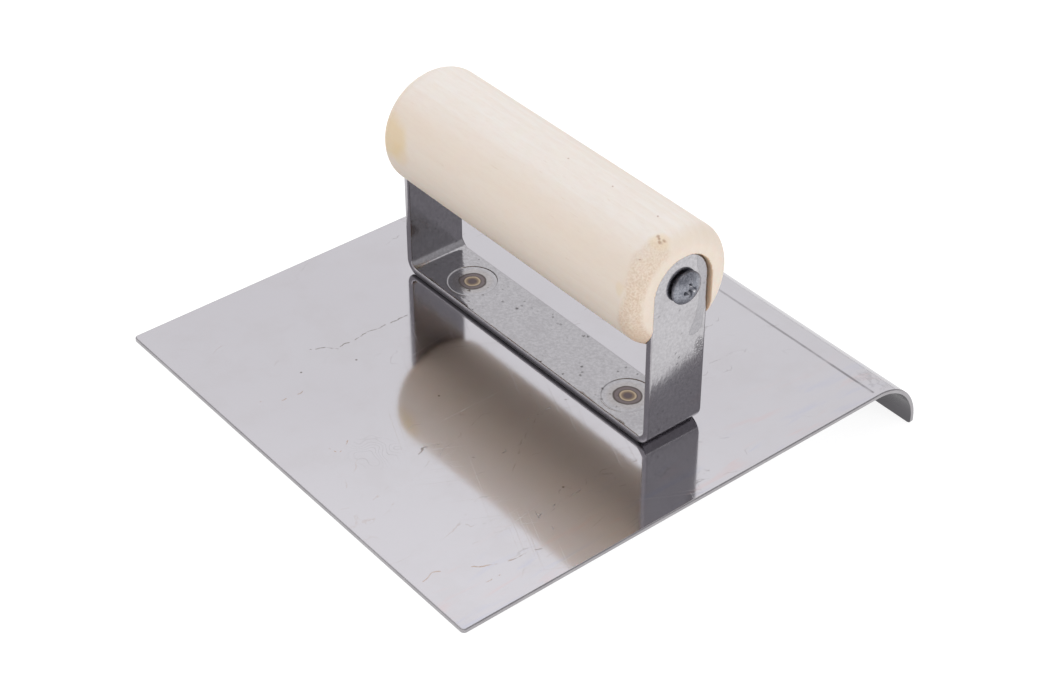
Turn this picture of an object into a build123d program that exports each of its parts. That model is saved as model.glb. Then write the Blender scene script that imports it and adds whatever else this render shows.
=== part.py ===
from build123d import *
from math import cos, radians, sin
import os

# Concrete edger: a sheet blade with one long side rolled down into a quarter-round lip,
# a U-shaped strap spot-welded on top of it, and a turned wooden handle between the strap's ears.
#
# Frame: +X along the handle and the lip, +Y towards the lip, +Z up.  The origin is the bottom
# centre of the whole tool's box, so Z = 0 is the lip's lower edge.  All lengths are millimetres.

# ---- driving dimensions ------------------------------------------------------------------

# blade
blade_length = 150.0          # along the lip
blade_width = 158.0           # from the free front edge to the outside of the lip
sheet_thickness = 1.2
lip_inner_radius = 14.5       # the radius that the tool gives the slab's edge
lip_straight = 2.0            # short straight flank below the rolled quarter round
blade_corner_radius = 1.2
blade_edge_round = 0.35

# strap bracket
strap_width = 19.0
strap_thickness = 2.0
bracket_length = 104.8        # over the outer faces of the two ears
strap_bend_radius = 2.6       # inside the bend
strap_setback = 88.0          # strap's centreline, measured from the blade's front edge
strap_edge_round = 0.5
ear_centre_height = 48.3      # centre of the ear's round top, above the blade's upper face
ear_hole_diameter = 5.6
ear_hole_offset = 0.9         # of the punched holes from the strap's centreline, towards the lip

# handle
handle_diameter = 35.0
handle_length = 107.0
handle_end_round = 5.0
handle_axis_height = 47.5     # above the blade's upper face
slot_clearance = 0.2          # beside the ear, on each side

# handle screws, 4.8 x 30 tapping screws with a pan head and a cross recess
screw_length = 30.0
screw_thread_diameter = 4.8
screw_core_diameter = 3.4
screw_neck_diameter = 4.2
screw_pitch = 1.6
screw_point_length = 5.0
head_diameter = 9.5
head_flank = 1.4
head_height = 3.1
recess_span = 4.6
recess_slot = 1.1
recess_depth = 2.0
recess_floor = 2.2            # span of the recess at its bottom
recess_turn = 5.0             # where the driver left the recess, in degrees

# spot welds
weld_spacing = 67.6
nugget_diameter = 6.0         # at the joint between strap and blade
nugget_core_diameter = 4.0    # at its upper and lower ends
nugget_depth_in_strap = 1.1
nugget_depth_in_blade = 0.6
electrode_mark_diameter = 14.5
electrode_mark_depth = 0.15

# ---- worked out from the above -----------------------------------------------------------

lip_outer_radius = lip_inner_radius + sheet_thickness
blade_top = lip_outer_radius + lip_straight
blade_underside = blade_top - sheet_thickness
front_edge = -blade_width / 2
lip_face = blade_width / 2
lip_tangent = lip_face - lip_outer_radius
strap_centre = front_edge + strap_setback
strap_top = blade_top + strap_thickness
ear_outer = bracket_length / 2
ear_inner = ear_outer - strap_thickness
axis_height = blade_top + handle_axis_height
ear_centre = blade_top + ear_centre_height
screw_centre = strap_centre + ear_hole_offset
handle_end = handle_length / 2
ends = {"front": 1, "rear": -1}


def end_plane(side, distance, across):
    """Plane across one end at the ears' centre height, facing outwards, with its origin at Y = across."""
    return Plane(origin=(side * distance, across, ear_centre), x_dir=(0, side, 0), z_dir=(side, 0, 0))


def axial_plane(side, turn=0.0):
    """Plane through the screw's axis: its Y points outwards along the axis, from the ear's outer face."""
    across = (0, cos(radians(turn)), sin(radians(turn)))
    normal = (0, side * across[2], -side * across[1])
    return Plane(origin=(side * ear_outer, screw_centre, ear_centre), x_dir=across, z_dir=normal)


# ---- spot welds: one nugget of fused metal at each end, partly in the strap, partly in the blade ----

spot_welds = {}
for end, side in ends.items():
    weld_axis = Plane(origin=(side * weld_spacing / 2, strap_centre, blade_top), x_dir=(1, 0, 0), z_dir=(0, -1, 0))
    with BuildPart() as spot_weld:
        with BuildSketch(weld_axis) as nugget_section:
            with BuildLine():
                Polyline(
                    (0, -nugget_depth_in_blade),
                    (nugget_core_diameter / 2, -nugget_depth_in_blade),
                    (nugget_diameter / 2, 0),
                    (nugget_core_diameter / 2, nugget_depth_in_strap),
                    (0, nugget_depth_in_strap),
                    close=True,
                )
            make_face()
        revolve(axis=Axis(weld_axis.origin, (0, 0, 1)))
    spot_weld.part.label = f"spot_weld_{end}"
    spot_welds[end] = spot_weld


# ---- blade: flat sheet rolled down into the lip -------------------------------------------

with BuildPart() as blade:
    with BuildSketch(Plane.YZ) as blade_section:
        with BuildLine():
            Line((front_edge, blade_underside), (front_edge, blade_top))
            Line((front_edge, blade_top), (lip_tangent, blade_top))
            roll_centre = (lip_tangent, blade_top - lip_outer_radius)
            CenterArc(roll_centre, lip_outer_radius, 0, 90)
            Line((lip_face, roll_centre[1]), (lip_face, 0))
            Line((lip_face, 0), (lip_face - sheet_thickness, 0))
            Line((lip_face - sheet_thickness, 0), (lip_face - sheet_thickness, roll_centre[1]))
            CenterArc(roll_centre, lip_inner_radius, 0, 90)
            Line((lip_tangent, blade_underside), (front_edge, blade_underside))
        make_face()
    extrude(amount=blade_length / 2, both=True)

    front_corners = blade.edges().filter_by(Axis.Z).group_by(Axis.Y)[0]
    lip_corners = blade.edges().filter_by(Axis.Y).group_by(Axis.Z)[0]
    fillet(front_corners + lip_corners, blade_corner_radius)

    upper_skin = blade.faces().filter_by(Axis.Z).sort_by(Axis.Z)[-1]
    fillet(upper_skin.edges().filter_by(Axis.X).sort_by(Axis.Y)[0], blade_edge_round)

    for spot_weld in spot_welds.values():
        add(spot_weld.part, mode=Mode.SUBTRACT)
blade.part.label = "blade"


# ---- strap bracket: flat strap bent up into two ears with round tops ------------------------

with BuildPart() as handle_bracket:
    with BuildSketch(Plane.XZ.offset(-strap_centre)) as strap_bend:
        with BuildLine():
            ear_top = ear_centre + strap_width / 2
            FilletPolyline(
                (-ear_outer, ear_top),
                (-ear_outer, blade_top),
                (ear_outer, blade_top),
                (ear_outer, ear_top),
                radius=strap_bend_radius + strap_thickness,
            )
            Line((ear_outer, ear_top), (ear_inner, ear_top))
            FilletPolyline(
                (ear_inner, ear_top),
                (ear_inner, strap_top),
                (-ear_inner, strap_top),
                (-ear_inner, ear_top),
                radius=strap_bend_radius,
            )
            Line((-ear_inner, ear_top), (-ear_outer, ear_top))
        make_face()
    extrude(amount=strap_width / 2, both=True)

    # the strap seen from the end: straight sides and a full-round top
    with BuildSketch(Plane.YZ) as strap_outline:
        with Locations((strap_centre, ear_centre)):
            Circle(strap_width / 2)
        with Locations((strap_centre, blade_top)):
            Rectangle(strap_width, ear_centre_height, align=(Align.CENTER, Align.MIN))
    extrude(amount=bracket_length, both=True, mode=Mode.INTERSECT)
    fillet(handle_bracket.edges().filter_by(Axis.X, reverse=True).filter_by(Axis.Y, reverse=True), strap_edge_round)

    for side in ends.values():
        with BuildSketch(end_plane(side, ear_outer, screw_centre)):
            Circle(ear_hole_diameter / 2)
        extrude(amount=-strap_thickness, mode=Mode.SUBTRACT)

    # shallow round mark that the welding electrode pressed into the strap
    with BuildSketch(Plane.XY.offset(strap_top)):
        with Locations((-weld_spacing / 2, strap_centre), (weld_spacing / 2, strap_centre)):
            Circle(electrode_mark_diameter / 2)
    extrude(amount=-electrode_mark_depth, mode=Mode.SUBTRACT)

    for spot_weld in spot_welds.values():
        add(spot_weld.part, mode=Mode.SUBTRACT)
handle_bracket.part.label = "handle_bracket"


# ---- handle screws ----------------------------------------------------------------------

def screw_profile():
    """Half outline of the screw below its head, as (radius, distance) pairs from neck to point."""
    neck_end = -(strap_thickness + screw_pitch)
    thread_end = -(screw_length - screw_point_length)
    points = [(screw_neck_diameter / 2, 0), (screw_neck_diameter / 2, neck_end)]
    ridge = neck_end
    while ridge - screw_pitch > thread_end:
        points.append((screw_core_diameter / 2, ridge - 0.2 * screw_pitch))
        points.append((screw_core_diameter / 2, ridge - 0.6 * screw_pitch))
        points.append((screw_thread_diameter / 2, ridge - 0.8 * screw_pitch))
        ridge -= screw_pitch
    points.append((screw_core_diameter / 2, ridge - 0.2 * screw_pitch))
    points.append((screw_core_diameter / 2, thread_end))
    points.append((0, -screw_length))
    return points


handle_screws = {}
for end, side in ends.items():
    section_plane = axial_plane(side)
    with BuildPart() as handle_screw:
        with BuildSketch(section_plane) as screw_section:
            with BuildLine():
                shank = screw_profile()
                Polyline(*shank)
                Line((0, -screw_length), (0, head_height))
                TangentArc((0, head_height), (head_diameter / 2, head_flank), tangent=(1, 0))
                Polyline((head_diameter / 2, head_flank), (head_diameter / 2, 0), shank[0])
            make_face()
        revolve(axis=Axis(section_plane.origin, (1, 0, 0)))

        # two crossed wings, narrower at the bottom than at the top
        for turn in (recess_turn, recess_turn + 90):
            with BuildSketch(axial_plane(side, turn)) as recess_wing:
                with BuildLine():
                    Polyline(
                        (-recess_span / 2, head_height),
                        (recess_span / 2, head_height),
                        (recess_floor / 2, head_height - recess_depth),
                        (-recess_floor / 2, head_height - recess_depth),
                        close=True,
                    )
                make_face()
            extrude(amount=recess_slot / 2, both=True, mode=Mode.SUBTRACT)
    handle_screw.part.label = f"handle_screw_{end}"
    handle_screws[end] = handle_screw


# ---- wooden handle -----------------------------------------------------------------------

with BuildPart() as wooden_handle:
    with BuildSketch(Plane.YZ) as handle_round:
        with Locations((strap_centre, axis_height)):
            Circle(handle_diameter / 2)
    extrude(amount=handle_length / 2, both=True)
    fillet(wooden_handle.edges().filter_by(GeomType.CIRCLE), handle_end_round)

    # a slot in each end takes the ear: round over the top and open at the bottom
    for side in ends.values():
        slot_half_width = strap_width / 2 + slot_clearance
        with BuildSketch(end_plane(side, ear_inner, strap_centre)) as ear_slot:
            Circle(slot_half_width)
            Rectangle(2 * slot_half_width, handle_diameter, align=(Align.CENTER, Align.MAX))
        extrude(amount=handle_end - ear_inner, mode=Mode.SUBTRACT)

    # the screws cut their own thread in the wood
    for handle_screw in handle_screws.values():
        add(handle_screw.part, mode=Mode.SUBTRACT)
wooden_handle.part.label = "wooden_handle"


# ---- write one STEP per piece -------------------------------------------------------------

pieces = [blade, handle_bracket, wooden_handle, *handle_screws.values(), *spot_welds.values()]
os.makedirs("parts", exist_ok=True)
for piece in pieces:
    export_step(piece.part, f"parts/{piece.part.label}.step")
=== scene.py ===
from functools import partial, reduce
from math import cos, pi, radians, sin

import bpy
import numpy as np
from mathutils import Matrix, Vector, noise


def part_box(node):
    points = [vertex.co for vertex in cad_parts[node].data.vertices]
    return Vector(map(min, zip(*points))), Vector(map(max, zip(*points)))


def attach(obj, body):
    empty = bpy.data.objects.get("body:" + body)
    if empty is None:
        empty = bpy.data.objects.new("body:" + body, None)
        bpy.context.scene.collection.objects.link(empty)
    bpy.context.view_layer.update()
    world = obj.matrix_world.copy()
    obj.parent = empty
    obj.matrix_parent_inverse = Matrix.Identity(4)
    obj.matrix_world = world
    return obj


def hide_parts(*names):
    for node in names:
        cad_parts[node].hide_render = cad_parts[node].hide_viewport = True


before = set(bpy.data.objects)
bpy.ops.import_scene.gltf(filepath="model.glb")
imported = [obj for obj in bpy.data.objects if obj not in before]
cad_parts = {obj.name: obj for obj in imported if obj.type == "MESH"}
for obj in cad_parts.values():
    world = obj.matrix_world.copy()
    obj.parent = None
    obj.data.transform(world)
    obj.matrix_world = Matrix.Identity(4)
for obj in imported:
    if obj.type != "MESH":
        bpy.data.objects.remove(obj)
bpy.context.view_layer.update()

# Concrete edger: sheet blade with a rolled lip, welded strap bracket, wooden handle, two screws.
# Metres, in the CAD frame: +X along the handle and the lip, +Y towards the lip, +Z up.

MM = 0.001

# ---- sizes: places come from the frame, section sizes are the design's own -----------------

blade_low, blade_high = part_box("blade")
strap_low, strap_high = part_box("handle_bracket")
wood_low, wood_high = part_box("wooden_handle")
screw_low, screw_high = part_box("handle_screw_front")

SHEET = 1.2 * MM
LIP_OUTER_RADIUS = 15.7 * MM
BLADE_CORNER = 1.2 * MM
BLADE_EDGE_ROUND = 0.35 * MM
SHEARED_BREAK = 0.12 * MM             # the sharper arris on the sheared side

STRAP = 2.0 * MM
STRAP_BEND = 2.6 * MM                 # inside radius of the strap's bends
STRAP_EDGE_ROUND = 0.5 * MM
EAR_HOLE = 2.8 * MM                   # radius
HOLE_EDGE_ROUND = 0.15 * MM
WELD_OFFSET = 33.8 * MM               # of each weld from the middle of the strap

HANDLE_END_ROUND = 5.0 * MM
SLOT_CLEARANCE = 0.08 * MM
SCREW_BORE = 2.4 * MM                 # radius
SCREW_LENGTH = 30.0 * MM
HEAD_HEIGHT = 3.05 * MM

blade_top = strap_low.z
blade_front = blade_low.y
blade_half = blade_high.x
lip_tangent = blade_high.y - LIP_OUTER_RADIUS
strap_top = blade_top + STRAP
strap_centre = (strap_low.y + strap_high.y) / 2
strap_half = (strap_high.y - strap_low.y) / 2
ear_outer = strap_high.x
ear_inner = ear_outer - STRAP
ear_centre = strap_high.z - strap_half
axis_height = (wood_low.z + wood_high.z) / 2
handle_radius = (wood_high.z - wood_low.z) / 2
handle_half = wood_high.x
slot_half = strap_half + SLOT_CLEARANCE
screw_y = (screw_low.y + screw_high.y) / 2
screw_z = (screw_low.z + screw_high.z) / 2


# ---- mesh helpers --------------------------------------------------------------------------

def in_scene(name, data):
    """A new object that shows some data."""
    shown = bpy.data.objects.new(name, data)
    bpy.context.scene.collection.objects.link(shown)
    return shown


def new_piece(name, points, faces, materials, material_index=None):
    """A smooth-shaded mesh object in the scene, with its materials."""
    mesh = bpy.data.meshes.new(name)
    mesh.from_pydata([tuple(p) for p in points], [], faces)
    for material in materials:
        mesh.materials.append(material)
    if material_index is not None:
        mesh.polygons.foreach_set("material_index", material_index)
    mesh.shade_smooth()
    return in_scene(name, mesh)


def steps(start, end, pitch):
    """Evenly spaced values from start to end, both included, about one pitch apart."""
    return np.linspace(start, end, max(2, round(abs(end - start) / pitch) + 1))


def joined(*runs):
    """Sorted lines of a grid, without lines that lie closer than a thousandth of a millimetre."""
    lines = np.sort(np.concatenate(runs))
    return lines[np.diff(lines, prepend=-np.inf) > 0.001 * MM]


def smooth(value, low, high):
    """0 below low, 1 above high, eased in between."""
    t = np.clip((value - low) / (high - low), 0, 1)
    return t * t * (3 - 2 * t)


def rounded(a, b):
    """Moves grid points from squares round the origin to circles of the same half width."""
    half = np.maximum(abs(a), abs(b))
    length = np.hypot(a, b)
    ratio = np.divide(half, length, out=np.ones_like(half), where=length > 0)
    return a * ratio, b * ratio


def fold(run, depth, start, radius, direction):
    """Where a sheet goes that bends by 90 degrees from start on, up (+1) or down (-1).

    run and radius are measured on its top face, depth goes down into the sheet."""
    turn = np.clip((run - start) / radius, 0, pi / 2)
    beyond = np.maximum(run - start - radius * pi / 2, 0)
    reach = radius + direction * depth
    along = np.minimum(run, start) + reach * np.sin(turn)
    up = direction * (radius - reach * np.cos(turn) + beyond)
    return along, up


def outline_loops(kept):
    """Closed loops of grid corners round the kept cells, with the cells on the left."""
    edges = set()
    for i, j in np.argwhere(kept).tolist():
        ring = [(i, j), (i + 1, j), (i + 1, j + 1), (i, j + 1)]
        for start, end in zip(ring, ring[1:] + ring[:1]):
            if (end, start) in edges:
                edges.remove((end, start))
            else:
                edges.add((start, end))
    following = dict(edges)
    loops = []
    while following:
        corner = min(following)
        loop = []
        while corner in following:
            loop.append(corner)
            corner = following.pop(corner)
        loops.append(loop)
    return loops


def edge_profile(round_radius, thickness, break_radius):
    """(inset, depth) pairs from the top face's rim over the edge to the bottom face's rim."""
    quarter = np.linspace(0, pi / 2, 5)
    top = [(round_radius * (1 - sin(t)), round_radius * (1 - cos(t))) for t in quarter]
    bottom = [(break_radius * (1 - cos(t)), thickness - break_radius * (1 - sin(t))) for t in quarter]
    return top + bottom


def inward(rim):
    """Unit directions into the metal along a closed run of points, and whether it is a hole's."""
    after, before = np.roll(rim, -1, axis=1), np.roll(rim, 1, axis=1)
    along = (after - before) / np.hypot(*(after - before))
    is_hole = np.sum(rim[0] * after[1] - rim[1] * after[0]) < 0
    return np.stack([-along[1], along[0]]), is_hole


def sheet_solid(flat, kept, thickness, rounds, hole_round, place, relief, underside=0):
    """Points, faces and material numbers of a sheet with rounded edges.

    flat holds the grid's two coordinates in the flat sheet, kept says which cells are metal,
    place bends flat points into space and relief is how deep the top face lies at a flat point."""
    used = np.zeros(flat.shape[1:], bool)
    for i, j in np.argwhere(kept):
        used[i:i + 2, j:j + 2] = True
    index = np.cumsum(used.ravel()).reshape(used.shape) - 1
    count = int(used.sum())

    # both faces end short of the outline, by the rounds of the edges
    top, bottom = flat.copy(), flat.copy()
    rims = []
    for loop in outline_loops(kept):
        i, j = np.array(loop).T
        rim = flat[:, i, j]
        direction, is_hole = inward(rim)
        top_round, bottom_round = (hole_round, hole_round) if is_hole else rounds
        top[:, i, j] += direction * top_round
        bottom[:, i, j] += direction * bottom_round
        rims.append((index[i, j], rim, direction, edge_profile(top_round, thickness, bottom_round)))
    top, bottom = top[:, used], bottom[:, used]
    parts = [(*top, relief(*top)), (*bottom, np.full(count, thickness))]

    faces, numbers = [], []
    for i, j in np.argwhere(kept).tolist():
        ring = index[[i, i + 1, i + 1, i], [j, j, j + 1, j + 1]].tolist()
        faces += [ring, [count + k for k in reversed(ring)]]
        numbers += [0, underside]
    total = 2 * count
    for top_rim, rim, direction, profile in rims:
        size = len(top_rim)
        previous = top_rim.tolist()
        for inset, depth in profile[1:-1]:
            parts.append((*(rim + direction * inset), np.full(size, depth)))
            current = list(range(total, total + size))
            faces += strip(previous, current)
            previous = current
            total += size
        faces += strip(previous, (count + top_rim).tolist())
        numbers += [1] * (size * (len(profile) - 1))
    return place(*np.concatenate(parts, axis=1)), faces, numbers


def strip(upper, lower):
    """Quads between two closed loops of the same length."""
    size = len(upper)
    return [(upper[k], lower[k], lower[(k + 1) % size], upper[(k + 1) % size]) for k in range(size)]


# ---- material helpers ----------------------------------------------------------------------

def rgb(red, green, blue):
    """A colour given as 0 to 255 display values, in the linear values that shaders use."""
    def linear(value):
        value /= 255
        return value / 12.92 if value <= 0.04045 else ((value + 0.055) / 1.055) ** 2.4
    return (linear(red), linear(green), linear(blue), 1.0)


class Field:
    """A number that varies from place to place: arithmetic with it adds nodes to its tree."""

    def __init__(self, nodes, socket):
        self.nodes = nodes
        self.socket = socket

    def __add__(self, other):
        return self.nodes.math("ADD", self, other)

    def __radd__(self, other):
        return self.nodes.math("ADD", other, self)

    def __sub__(self, other):
        return self.nodes.math("SUBTRACT", self, other)

    def __rsub__(self, other):
        return self.nodes.math("SUBTRACT", other, self)

    def __mul__(self, other):
        return self.nodes.math("MULTIPLY", self, other)

    def __abs__(self):
        return self.nodes.math("ABSOLUTE", self)

    def ramp(self, low, high, start=0.0, end=1.0, easing="SMOOTHSTEP"):
        """start where the number is below low, end where it is above high, eased in between."""
        inputs = {"Value": self, "From Min": low, "From Max": high, "To Min": start, "To Max": end}
        return self.nodes.number("MapRange", inputs, "Result", interpolation_type=easing)


class Nodes:
    """A node tree under construction: each short call adds nodes and returns what they give."""

    def __init__(self, tree):
        self.tree = tree

    def node(self, kind, inputs, **settings):
        made = self.tree.nodes.new("ShaderNode" + kind)
        for key, value in settings.items():
            setattr(made, key, value)
        for key, value in inputs.items():
            self.feed(made.inputs[key], value)
        return made

    def feed(self, socket, value):
        if isinstance(value, Field):
            value = value.socket
        if isinstance(value, bpy.types.NodeSocket):
            self.tree.links.new(value, socket)
        else:
            socket.default_value = value

    def number(self, kind, inputs, output, **settings):
        return Field(self, self.node(kind, inputs, **settings).outputs[output])

    def math(self, operation, *values, clamp=False):
        return self.number("Math", dict(enumerate(values)), 0, operation=operation, use_clamp=clamp)

    def combine(self, operation, values):
        """Takes two values at a time until one is left."""
        return reduce(partial(self.math, operation), values)

    def vector(self, operation, *values):
        """A vector worked out from vectors."""
        inputs = dict(enumerate(values))
        return self.node("VectorMath", inputs, operation=operation).outputs["Vector"]

    def scaled(self, vector, factor):
        inputs = {0: vector, "Scale": factor}
        return self.node("VectorMath", inputs, operation="SCALE").outputs["Vector"]

    def measure(self, operation, *values):
        """A number worked out from vectors."""
        return self.number("VectorMath", dict(enumerate(values)), "Value", operation=operation)

    def plan_distance(self, across, up):
        """Distance from the origin of a point given by two coordinates."""
        flat = self.node("CombineXYZ", {"X": across, "Y": up}).outputs["Vector"]
        return self.measure("LENGTH", flat)


class Shader(Nodes):
    """A material under construction: it keeps the colour and the relief made so far."""

    def __init__(self, name):
        self.material = bpy.data.materials.new(name)
        self.material.use_nodes = True
        super().__init__(self.material.node_tree)
        self.surface = self.tree.nodes["Principled BSDF"]
        coordinates = self.tree.nodes.new("ShaderNodeTexCoord")
        self.place = coordinates.outputs["Object"]
        self.normal = coordinates.outputs["Normal"]
        self.colour = None
        self.facing = None

    def axes(self, vector=None):
        outputs = self.node("SeparateXYZ", {"Vector": vector or self.place}).outputs
        return [Field(self, output) for output in outputs]

    def attribute(self, name):
        return self.number("Attribute", {}, "Fac", attribute_name=name)

    def stretch(self, x, y, z, vector=None):
        """Coordinates scaled by a factor along each axis: a pattern gets finer as it grows."""
        inputs = {"Vector": vector or self.place, "Scale": (x, y, z)}
        return self.node("Mapping", inputs).outputs["Vector"]

    def noise(self, scale, detail=2.0, roughness=0.5, distortion=0.0, vector=None):
        inputs = {"Vector": vector or self.place, "Scale": scale, "Detail": detail,
                  "Roughness": roughness, "Distortion": distortion}
        return self.number("TexNoise", inputs, "Fac")

    def streaks(self, x, y, z, detail=2.0, roughness=0.5, distortion=0.0, vector=None):
        """Noise with its own scale along each axis."""
        return self.noise(1.0, detail, roughness, distortion, self.stretch(x, y, z, vector))

    def cells(self, scale, vector=None, feature="F1"):
        """Distance to the nearest point of a scattered set."""
        inputs = {"Vector": vector or self.place, "Scale": scale}
        return self.number("TexVoronoi", inputs, "Distance", feature=feature)

    def borders(self, scale, vector):
        """Distance to the border between the nearest two cells of a scattered set."""
        return self.cells(scale, vector, "DISTANCE_TO_EDGE")

    def wander(self, scale, amount, vector=None):
        """Coordinates pushed about by a noise, by up to half the amount in metres."""
        vector = vector or self.place
        inputs = {"Vector": vector, "Scale": scale, "Detail": 2.0}
        push = self.node("TexNoise", inputs).outputs["Color"]
        centred = self.vector("SUBTRACT", push, (0.5, 0.5, 0.5))
        return self.vector("MULTIPLY_ADD", centred, (amount, amount, amount), vector)

    def spot(self, centre, inner, outer, vector=None):
        """1 within the inner distance of a point, 0 beyond the outer one."""
        distance = self.measure("DISTANCE", vector or self.place, centre)
        return distance.ramp(inner, outer, 1.0, 0.0)

    def oval(self, centre, inner, outer, length):
        """Like spot, but longer along Z by a factor."""
        squeezed = self.stretch(1.0, 1.0, 1 / length)
        return self.spot((centre[0], centre[1], centre[2] / length), inner, outer, squeezed)

    def tint(self, factor, colour, other):
        """colour where factor is 0, other where it is 1."""
        return self.node("Mix", {"Factor": factor, 6: colour, 7: other}, data_type="RGBA").outputs[2]

    def base(self, factor, colour, other):
        """Starts the surface's colour."""
        self.colour = self.tint(factor, colour, other)

    def paint(self, amount, colour, strength=None):
        """Covers the colour so far with another, by an amount from 0 to 1 times the strength."""
        self.colour = self.tint(amount * strength if strength else amount, self.colour, colour)

    def shade(self, factor):
        """Makes the colour so far darker or lighter by a factor."""
        self.colour = self.scaled(self.colour, factor)

    def lean(self, amount):
        """Tips the surface's direction upwards by a slope, where a sheet isn't quite upright."""
        push = self.node("CombineXYZ", {"Z": amount}).outputs["Vector"]
        self.facing = self.vector("ADD", self.normal, push)

    def bump(self, height, distance):
        """Adds a relief of the given depth in metres on top of those added before."""
        inputs = {"Height": height, "Distance": distance, "Strength": 1.0}
        if self.facing is not None:
            inputs["Normal"] = self.facing
        self.facing = self.node("Bump", inputs).outputs["Normal"]

    def finish(self, roughness, metallic=1.0, specular=0.5, **others):
        inputs = {"Base Color": self.colour, "Roughness": roughness, "Metallic": metallic,
                  "Specular IOR Level": specular}
        inputs.update({key.replace("_", " "): value for key, value in others.items()})
        if self.facing is not None:
            inputs["Normal"] = self.facing
        for key, value in inputs.items():
            self.feed(self.surface.inputs[key], value)
        return self.material


# ---- blade's materials ---------------------------------------------------------------------

CREASE_Y = lip_tangent - 0.55 * MM    # the press mark along the start of the lip's roll
CREASE_END = 73.6 * MM
RIPPLE_SPOT = (8.0 * MM, -56.0 * MM, blade_top)
SCUFF_SPOT = (69.0 * MM, lip_tangent + 4.0 * MM, blade_top - 0.5 * MM)

# hairlines that dried water left on the blade, each as a few (x, y) points in millimetres
DRY_LINES = [
    [(-39, -44), (-35, -38), (-35, -26), (-35, -13)],
    [(-29, -70), (-28, -67)],
    [(-25, -63), (-25, -56)],
    [(-1, -65), (2, -63), (0, -59)],
    [(26, -38), (30, -35), (29, -29), (26, -28)],
    [(18, -50), (15, -46), (17, -40)],
    [(23, -17), (23, -14), (22, -6), (23, -2)],
    [(52, -37), (55, -39), (54, -33), (54, -28), (52, -20)],
    [(59, -64), (61, -60), (63, -53), (65, -45), (62, -41), (58, -38)],
    [(65, -65), (65, -60)],
    [(55, -76), (54, -72), (56, -69)],
]
DRY_LINE_WIDTH = 0.27 * MM
LONG_SCRATCH = [(9, -35), (9, -16)]
# faint scratches: degrees from X, scale along and across them, and how rare they are
SCRATCHES = [(24, 18.0, 2600.0, 0.67), (-61, 22.0, 2400.0, 0.68), (83, 14.0, 2800.0, 0.69)]
PLATE_SPECKS = [(-27, -37), (0, -29), (50, -27), (-32, -52)]


def trace(shader, vector, points, width):
    """1 on a thin line through points of the blade's top, 0 off it."""
    distances = []
    for start, end in zip(points, points[1:]):
        near = Vector((start[0] * MM, start[1] * MM, blade_top))
        run = Vector(((end[0] - start[0]) * MM, (end[1] - start[1]) * MM, 0.0))
        offset = shader.vector("SUBTRACT", vector, near)
        share = shader.measure("DOT_PRODUCT", offset, run / run.length_squared)
        foot = shader.scaled(run, shader.math("ADD", share, 0.0, clamp=True))
        distances.append(shader.measure("DISTANCE", offset, foot))
    nearest = shader.combine("MINIMUM", distances)
    return nearest.ramp(0.35 * width, width, 1.0, 0.0)


def dry_lines(shader, broken):
    """Where dried water left hairlines: the traced ones and a few fainter ones between them."""
    wandering = shader.wander(330.0, 1.6 * MM, shader.wander(110.0, 3.0 * MM))
    traced = [trace(shader, wandering, points, DRY_LINE_WIDTH) for points in DRY_LINES]
    strong = shader.combine("MAXIMUM", traced) * broken.ramp(0.34, 0.48, 0.6, 1.0)

    wandering = shader.wander(330.0, 2.2 * MM, shader.wander(60.0, 12.0 * MM))
    border = shader.borders(80.0, shader.stretch(1.0, 0.25, 1.0, wandering))
    zone = shader.noise(28.0).ramp(0.50, 0.62)
    faint = border.ramp(0.003, 0.012, 1.0, 0.0) * zone * broken.ramp(0.48, 0.60) * 0.35
    return shader.math("MAXIMUM", faint, strong)


def ripples(shader):
    """Rings like the contour lines of a map, round one spot."""
    contour = shader.math("FRACT", shader.noise(110.0, 1.0) * 16.0)
    line = abs(contour - 0.5).ramp(0.02, 0.14, 1.0, 0.0)
    return line * shader.spot(RIPPLE_SPOT, 3.0 * MM, 9.0 * MM) * 0.16


def press_mark(shader, x, y):
    """The dark line at the lip: uneven, stronger towards the front end, and gone just before that end."""
    uneven = shader.streaks(130.0, 500.0, 130.0, 4.0, 0.65)
    across = abs(y - CREASE_Y).ramp(0.10 * MM, 0.62 * MM, 1.0, 0.0)
    along = x.ramp(CREASE_END, CREASE_END - 0.6 * MM)
    deeper = x.ramp(-10.0 * MM, 70.0 * MM, 0.32, 0.75)
    return across * along * deeper * uneven.ramp(0.3, 0.6, 0.4, 1.0)


def scratches(shader, turn, length_scale, width_scale, threshold):
    """Long thin marks, all at one angle about Z."""
    inputs = {"Vector": shader.place, "Rotation": (0, 0, radians(turn))}
    turned = shader.node("Mapping", inputs).outputs["Vector"]
    field = shader.streaks(length_scale, width_scale, 1.0, 1.0, vector=turned)
    return field.ramp(threshold, threshold + 0.05)


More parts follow.
